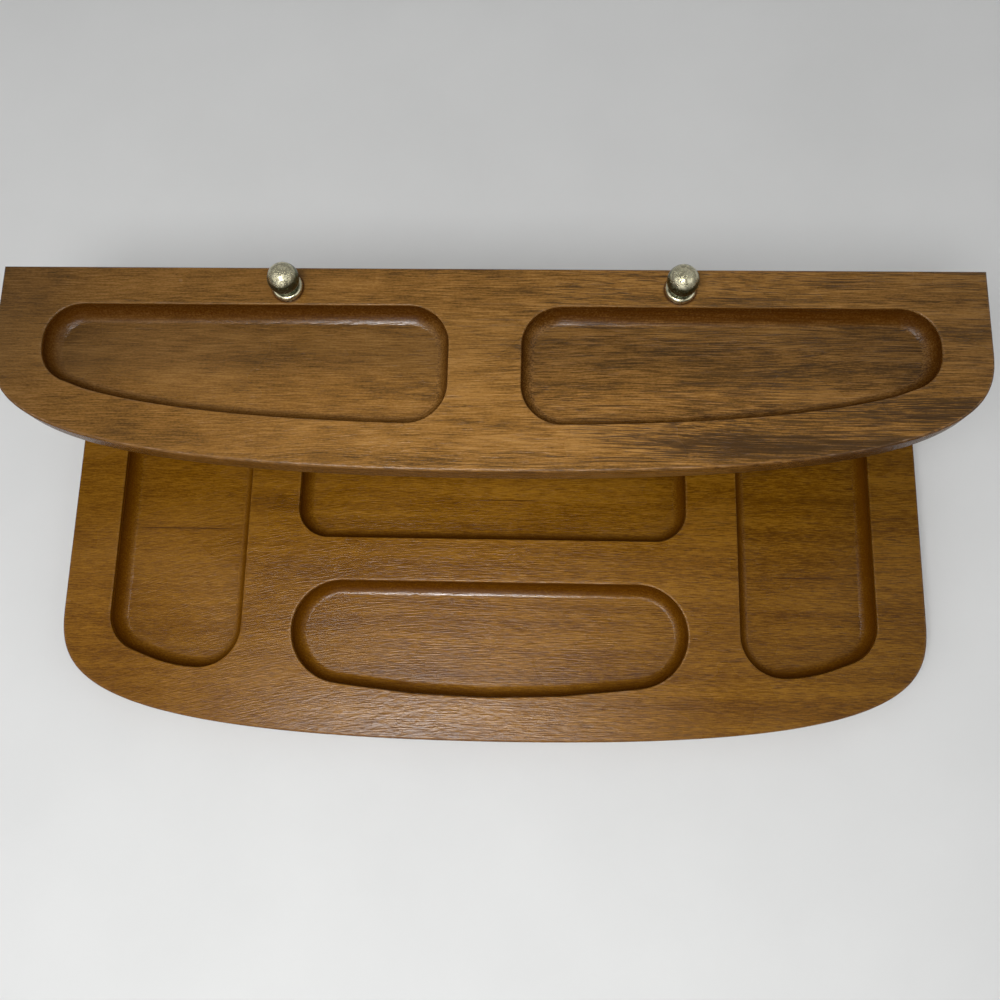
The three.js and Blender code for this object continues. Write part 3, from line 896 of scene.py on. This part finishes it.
class Finish(Nodes):
    """One procedural material in the coordinates of its piece."""

    def __init__(self, name):
        self.material = bpy.data.materials.new(name)
        self.material.use_nodes = True
        super().__init__(self.material.node_tree)
        self.place = self.add("ShaderNodeTexCoord").outputs["Object"]

    def noise(self, size, detail=2.0, roughness=0.5, place=None):
        """Noise whose marks have about that size along X, Y and Z."""
        scaled = self.add("ShaderNodeVectorMath", {0: place or self.place, 1: size}, operation="DIVIDE")
        inputs = {"Vector": scaled.outputs[0], "Scale": 1.0, "Detail": detail, "Roughness": roughness}
        return self.add("ShaderNodeTexNoise", inputs).outputs[0]

    def specks(self, size, detail=2.0, roughness=0.5):
        """Noise whose marks have the same size along every axis."""
        return self.noise((size, size, size), detail, roughness)

    def shifted(self, **offsets):
        """The piece's coordinates moved by offsets along the named axes."""
        shift = self.add("ShaderNodeCombineXYZ", offsets).outputs[0]
        return self.add("ShaderNodeVectorMath", {0: self.place, 1: shift}, operation="ADD").outputs[0]

    def bump(self, height, distance, under=None):
        inputs = {"Height": height, "Distance": distance}
        if under is not None:
            inputs["Normal"] = under
        return self.add("ShaderNodeBump", inputs).outputs[0]

    def swing(self, noise, strength):
        """A noise about its middle level, times a strength."""
        return self.times(self.calc("SUBTRACT", noise, 0.5), strength)

    def mix_in(self, tone, noise, strength):
        """Adds a noise to a tone, its middle level leaving the tone as it is."""
        return self.calc("ADD", tone, self.swing(noise, strength))

    def near(self, value, centre, reach):
        """1 where the value is at the centre, falling to 0 at that distance from it."""
        return self.ease(self.calc("ABSOLUTE", self.calc("SUBTRACT", value, centre)), reach, 0.0)

    def mark(self, name):
        return self.add("ShaderNodeAttribute", attribute_name=name).outputs["Fac"]

    def surface(self, **inputs):
        named = {key.replace("_", " "): value for key, value in inputs.items()}
        shader = self.add("ShaderNodeBsdfPrincipled", named)
        output = self.add("ShaderNodeOutputMaterial")
        self.tree.links.new(shader.outputs[0], output.inputs["Surface"])
        return self.material


def grey(stops):
    return [(position, (level, level, level)) for position, level in stops]


class Wood(Finish):
    """Stained hardwood with a satin finish and its grain along X."""

    def __init__(self, look):
        super().__init__(look["name"])
        self.look = look
        self.across = self.axis("X", self.place)
        self.along = self.axis("Y", self.place)
        sideways = self.swing(self.noise(WANDER_SIZE, detail=1.0), GRAIN_WANDER)
        self.grain = self.shifted(Y=sideways, Z=sideways)
        self.fibres = self.noise(look["fibre_size"], detail=3.0, roughness=0.65, place=self.grain)
        self.clouds = self.noise(CLOUD_SIZE)
        self.grit = self.swing(self.noise(GRIT_SIZE), self.mark("grit"))
        self.strength = self.ease(self.across, *look["strong_from"], look["least_strength"], 1.0)
        self.streaks = [self.streak(*sizes) for sizes in look["streaks"]]
        self.pores = self.crowded_pores()
        front = self.ease(self.along, *FRONT_SPAN)
        self.front = self.times(front, self.near(self.across, FRONT_MIDDLE, FRONT_REACH))

    def streak(self, centre, half, start, full, end, depth):
        """Dark band along the grain that swells from its first end and tapers at its last."""
        band = self.near(self.axis("Y", self.grain), centre, half)
        swell = self.ease(self.across, start, full, 0.0, depth)
        taper = self.ease(self.across, end, end - VEIN_TAPER)
        return self.times(band, swell, taper)

    def crowded_pores(self):
        """Pores as short dark dashes, crowded in streaks and scarce where the figure is weak."""
        dashes = self.noise(self.look["dash_size"], detail=1.0, place=self.grain)
        crowd = self.mix_in(dashes, self.clouds, CLOUD_CROWD)
        scarcity = self.times(self.calc("SUBTRACT", self.strength, 1.0), PLAIN_CROWD)
        crowd = self.calc("ADD", crowd, scarcity)
        for band in self.streaks:
            crowd = self.calc("ADD", crowd, self.times(band, STREAK_CROWD))
        first = self.look["pore_from"]
        return self.ease(crowd, first, first + PORE_SPAN)

    def figure(self):
        """Colour of the bare wood: bands, fibres, speckle, clouds, mottle and dark streaks."""
        bands = self.noise(BAND_SIZE, detail=3.0, roughness=0.6, place=self.grain)
        speckle = self.noise(SPECKLE_SIZE, roughness=0.6)
        lively = self.ease(self.strength, 0.0, 1.0, LEAST_FIBRES, 1.0)
        tone = self.swing(bands, self.strength)
        tone = self.mix_in(tone, self.fibres, self.times(lively, self.look["fibre_strength"]))
        tone = self.mix_in(tone, speckle, SPECKLE_STRENGTH)
        tone = self.mix_in(tone, self.clouds, CLOUD_STRENGTH)
        tone = self.mix_in(tone, self.noise(MOTTLE_SIZE), self.look["mottle"])
        for band in self.streaks:
            tone = self.calc("SUBTRACT", tone, band)
        return self.ramp(self.calc("ADD", tone, 0.5), self.look["tones"])

    def veined(self, colour):
        """Adds the pores and single dark hairlines."""
        dark = self.look["dark_tone"]
        colour = self.blend(self.times(self.pores, self.look["pore_strength"]), colour, dark)
        for centre, start, end in self.look["veins"]:
            line = self.near(self.along, centre, VEIN_HALF)
            first = self.ease(self.across, start, start + VEIN_TAPER)
            last = self.ease(self.across, end, end - VEIN_TAPER)
            colour = self.blend(self.times(line, first, last), colour, dark)
        return colour

    def shaded(self, colour):
        """Adds painted light and shade along the board, partly the wood's own tone, and painted shade at
        its back and on floors.
        """
        look = self.look
        position = self.calc("ADD", self.calc("DIVIDE", self.across, 2 * HALF_WIDTH), 0.5)
        light = self.ramp(position, grey(look["light"]))
        back = self.ease(self.along, *look["back_span"], 1.0, look["back_shade"])
        sunk = self.ease(self.along, *look["floor_span"], 0.0, 1.0 - look["floor_shade"])
        floor = self.calc("SUBTRACT", 1.0, self.times(sunk, self.mark("floor")))
        shade = self.times(light, back, floor)
        return self.add("ShaderNodeHueSaturation", {"Value": shade, "Color": colour}).outputs[0]

    def stained(self, colour):
        """Adds stain on walls and sides, and a painted contact shadow around the foot of each post or
        collar.
        """
        stain = self.calc("SUBTRACT", self.times(self.mark("stain"), STAIN_STRENGTH), self.grit)
        colour = self.blend(stain, colour, self.look["stain_tone"])
        flat = self.add("ShaderNodeCombineXYZ", {"X": self.across, "Y": self.along}).outputs[0]
        # Painted contact shadow: darker within a short reach of each post's or collar's edge
        for side in SIDES:
            low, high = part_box(f"{side}_{self.look['foot']}")
            radius = (high.x - low.x) / 2
            centre = (*column_axis(side), 0)
            off = self.add("ShaderNodeVectorMath", {0: flat, 1: centre}, operation="DISTANCE")
            contact_shadow = self.ease(off.outputs["Value"], radius + CONTACT_SHADOW_REACH, radius)
            colour = self.blend(contact_shadow, colour, self.look["stain_tone"])
        return colour

    def worn(self, colour):
        """Adds pale chips where rims and edges are worn."""
        chips = self.ease(self.noise(CHIP_SIZE, detail=3.0), *CHIP_RANGE, LEAST_CHIPS, 1.0)
        wear = self.times(chips, self.mark("wear"), WEAR_STRENGTH)
        return self.blend(wear, colour, self.look["worn_tone"])

    def relief(self):
        """Fibres and pores, strokes of the finish, a ripple along the front, and grit."""
        leftward = self.calc("MINIMUM", self.across, 0.0)
        brushed = self.shifted(Y=self.times(leftward, leftward, STROKE_BEND))
        ripple = self.times(self.noise(RIPPLE_SIZE, place=brushed), self.front)
        normal = self.bump(self.calc("SUBTRACT", self.fibres, self.pores), FIBRE_DEPTH)
        normal = self.bump(self.noise(STROKE_SIZE, place=brushed), STROKE_DEPTH, normal)
        normal = self.bump(ripple, RIPPLE_DEPTH, normal)
        return self.bump(self.grit, GRIT_DEPTH, normal)

    def sheen(self):
        """Roughness and gloss: dull on stain, glossier in pooled finish and along the front."""
        pool = self.times(self.mark("pool"), self.near(self.across, POOL_MIDDLE, POOL_SPAN))
        roughness = self.ease(self.clouds, *NOISE_RANGE, *WOOD_ROUGHNESS)
        roughness = self.calc("SUBTRACT", roughness, self.times(pool, POOL_SMOOTHING))
        gloss = self.ease(self.mark("stain"), 0.0, FULL_STAIN, WOOD_GLOSS, STAIN_GLOSS)
        back = self.ease(self.along, *self.look["back_span"], 1.0, self.look["back_gloss"])
        gloss = self.calc("ADD", self.times(gloss, back), self.times(pool, POOL_GLOSS))
        gloss = self.calc("ADD", gloss, self.times(self.front, FRONT_GLOSS))
        return roughness, gloss


def wood(look):
    finish = Wood(look)
    colour = finish.shaded(finish.veined(finish.figure()))
    colour = finish.worn(finish.stained(colour))
    roughness, gloss = finish.sheen()
    normal = finish.relief()
    return finish.surface(Base_Color=colour, Roughness=roughness, Normal=normal, Specular_IOR_Level=gloss)


def brass():
    """Brass gone dull: pale yellow-grey metal with dark pits, darker with tarnish and painted shade below
    the ball and at the collar's foot.
    """
    finish = Finish("aged_brass")
    cloud = finish.specks(BRASS_CLOUD, detail=3.0)
    pits = finish.ease(finish.specks(PIT_SIZE, detail=3.0, roughness=0.6), *PIT_RANGE)
    pits = finish.times(pits, finish.mark("grit"))
    # Tarnish and painted shade on the ball's underside, painted contact shadow on the collar's foot
    tarnish_and_shade = finish.times(finish.mark("stain"), TARNISH_AND_SHADE_STRENGTH)
    colour = finish.ramp(cloud, BRASS_TONES)
    colour = finish.blend(finish.times(pits, PIT_STRENGTH), colour, PIT_TONE)
    colour = finish.blend(tarnish_and_shade, colour, TARNISH_AND_SHADE_TONE)
    roughness = finish.ease(cloud, *NOISE_RANGE, *BRASS_ROUGHNESS)
    relief = finish.bump(pits, -PIT_DEPTH)
    return finish.surface(Base_Color=colour, Metallic=1.0, Roughness=roughness, Normal=relief)


def steel():
    """Zinc-plated steel with a fine spangle."""
    finish = Finish("zinc_steel")
    spangle = finish.specks(SPANGLE_SIZE)
    colour = finish.ramp(spangle, STEEL_TONES)
    roughness = finish.ease(spangle, *NOISE_RANGE, *STEEL_ROUGHNESS)
    relief = finish.bump(spangle, SPANGLE_DEPTH)
    return finish.surface(Base_Color=colour, Metallic=1.0, Roughness=roughness, Normal=relief)


def felt():
    """Pressed felt: matted short fibres."""
    finish = Finish("pressed_felt")
    mat = finish.specks(FELT_MAT_SIZE, detail=4.0, roughness=0.7)
    colour = finish.ramp(mat, FELT_TONES)
    relief = finish.bump(mat, FELT_DEPTH)
    return finish.surface(Base_Color=colour, Roughness=1.0, Normal=relief, Sheen_Weight=FELT_SHEEN)


def pale_table():
    finish = Finish("pale_table")
    colour = finish.ramp(finish.specks(TABLE_MOTTLE, detail=4.0), TABLE_TONES)
    return finish.surface(Base_Color=colour, Roughness=TABLE_ROUGHNESS, Specular_IOR_Level=TABLE_GLOSS)


# The object


def add_piece(node, shell, material, body):
    """Adds a fine mesh that stands for a CAD node and moves with its body."""
    name = f"{node}_finished"
    piece = bpy.data.objects.new(name, shell.mesh(name))
    bpy.context.scene.collection.objects.link(piece)
    piece.data.materials.append(material)
    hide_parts(node)
    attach(piece, body)


def add_boards():
    base_wells = [
        (side_well(), SIDE_RIM_WEAR),
        (mirrored(side_well()), SIDE_RIM_WEAR),
        (front_well(), FRONT_RIM_WEAR),
        (middle_well(), MIDDLE_RIM_WEAR),
    ]
    shelf_wells = [(shelf_well(), SHELF_RIM_WEAR), (mirrored(shelf_well()), SHELF_RIM_WEAR)]
    base_shell = board_shell(BASE, base_wells, COUNTERBORE_DEPTH)
    shelf_shell = board_shell(SHELF, shelf_wells, 0)
    add_piece("base_board", base_shell, wood(BASE_LOOK), "tray")
    add_piece("shelf_board", shelf_shell, wood(SHELF_LOOK), "tray")


def add_hardware():
    brass_finish = brass()
    steel_finish = steel()
    felt_finish = felt()
    for side in SIDES:
        add_piece(f"{side}_post", post_shell(side), brass_finish, "tray")
        add_piece(f"{side}_tie_rod", rod_shell(side), steel_finish, "tray")
        add_piece(f"{side}_rod_washer", washer_shell(side), steel_finish, "tray")
        add_piece(f"{side}_rod_nut", nut_shell(side), steel_finish, "tray")
        add_piece(f"{side}_finial_collar", collar_shell(side), brass_finish, f"{side}_collar")
        add_piece(f"{side}_finial_ball", ball_shell(side), brass_finish, f"{side}_ball")
        for end in ("front", "back"):
            foot = f"{end}_{side}_foot"
            add_piece(foot, felt_shell(foot), felt_finish, "tray")


# The studio


def add_floor():
    half = TABLE_HALF
    mesh = bpy.data.meshes.new("table_top")
    corners = [(-half, -half, 0), (half, -half, 0), (half, half, 0), (-half, half, 0)]
    mesh.from_pydata(corners, [], [(0, 1, 2, 3)])
    mesh.materials.append(pale_table())
    floor = bpy.data.objects.new("table_top", mesh)
    bpy.context.scene.collection.objects.link(floor)


def add_lamp(name, place, target, width, length, power):
    lamp = bpy.data.lights.new(name, "AREA")
    lamp.shape = "RECTANGLE"
    lamp.size = width
    lamp.size_y = length
    lamp.energy = power
    holder = bpy.data.objects.new(name, lamp)
    holder.location = place
    holder.rotation_euler = (Vector(target) - Vector(place)).to_track_quat("-Z", "Y").to_euler()
    holder.visible_camera = False
    bpy.context.scene.collection.objects.link(holder)


def add_sky():
    """Soft room light: a pale wall behind, a darker room in front; the camera sees a backdrop."""
    world = bpy.data.worlds.new("soft_room")
    world.use_nodes = True
    sky = Nodes(world.node_tree)
    direction = sky.add("ShaderNodeTexCoord").outputs["Generated"]
    height = sky.axis("Z", direction)
    wall = sky.ramp(height, grey(WALL_LIGHT))
    room = sky.ramp(height, grey(ROOM_LIGHT))
    behind = sky.ease(sky.axis("Y", direction), *WALL_SPAN)
    lit = sky.add("ShaderNodeBackground", {"Color": sky.blend(behind, room, wall)})
    backdrop = sky.add("ShaderNodeBackground", {"Color": BACKDROP})
    seen = sky.add("ShaderNodeLightPath").outputs["Is Camera Ray"]
    pick = sky.add("ShaderNodeMixShader", {0: seen, 1: lit.outputs[0], 2: backdrop.outputs[0]})
    sky.add("ShaderNodeOutputWorld", {"Surface": pick.outputs[0]})
    bpy.context.scene.world = world


def add_camera():
    data = bpy.data.cameras.new("camera")
    data.lens = CAMERA_LENS
    data.sensor_width = CAMERA_SENSOR
    data.clip_start = CAMERA_NEAR
    camera = bpy.data.objects.new("camera", data)
    camera.location = CAMERA_PLACE
    camera.rotation_euler = CAMERA_TURN
    bpy.context.scene.collection.objects.link(camera)
    bpy.context.scene.camera = camera


bpy.context.scene.view_settings.view_transform = "Standard"
add_boards()
add_hardware()
add_floor()
add_sky()
for lamp_sizes in LAMPS:
    add_lamp(*lamp_sizes)
add_camera()
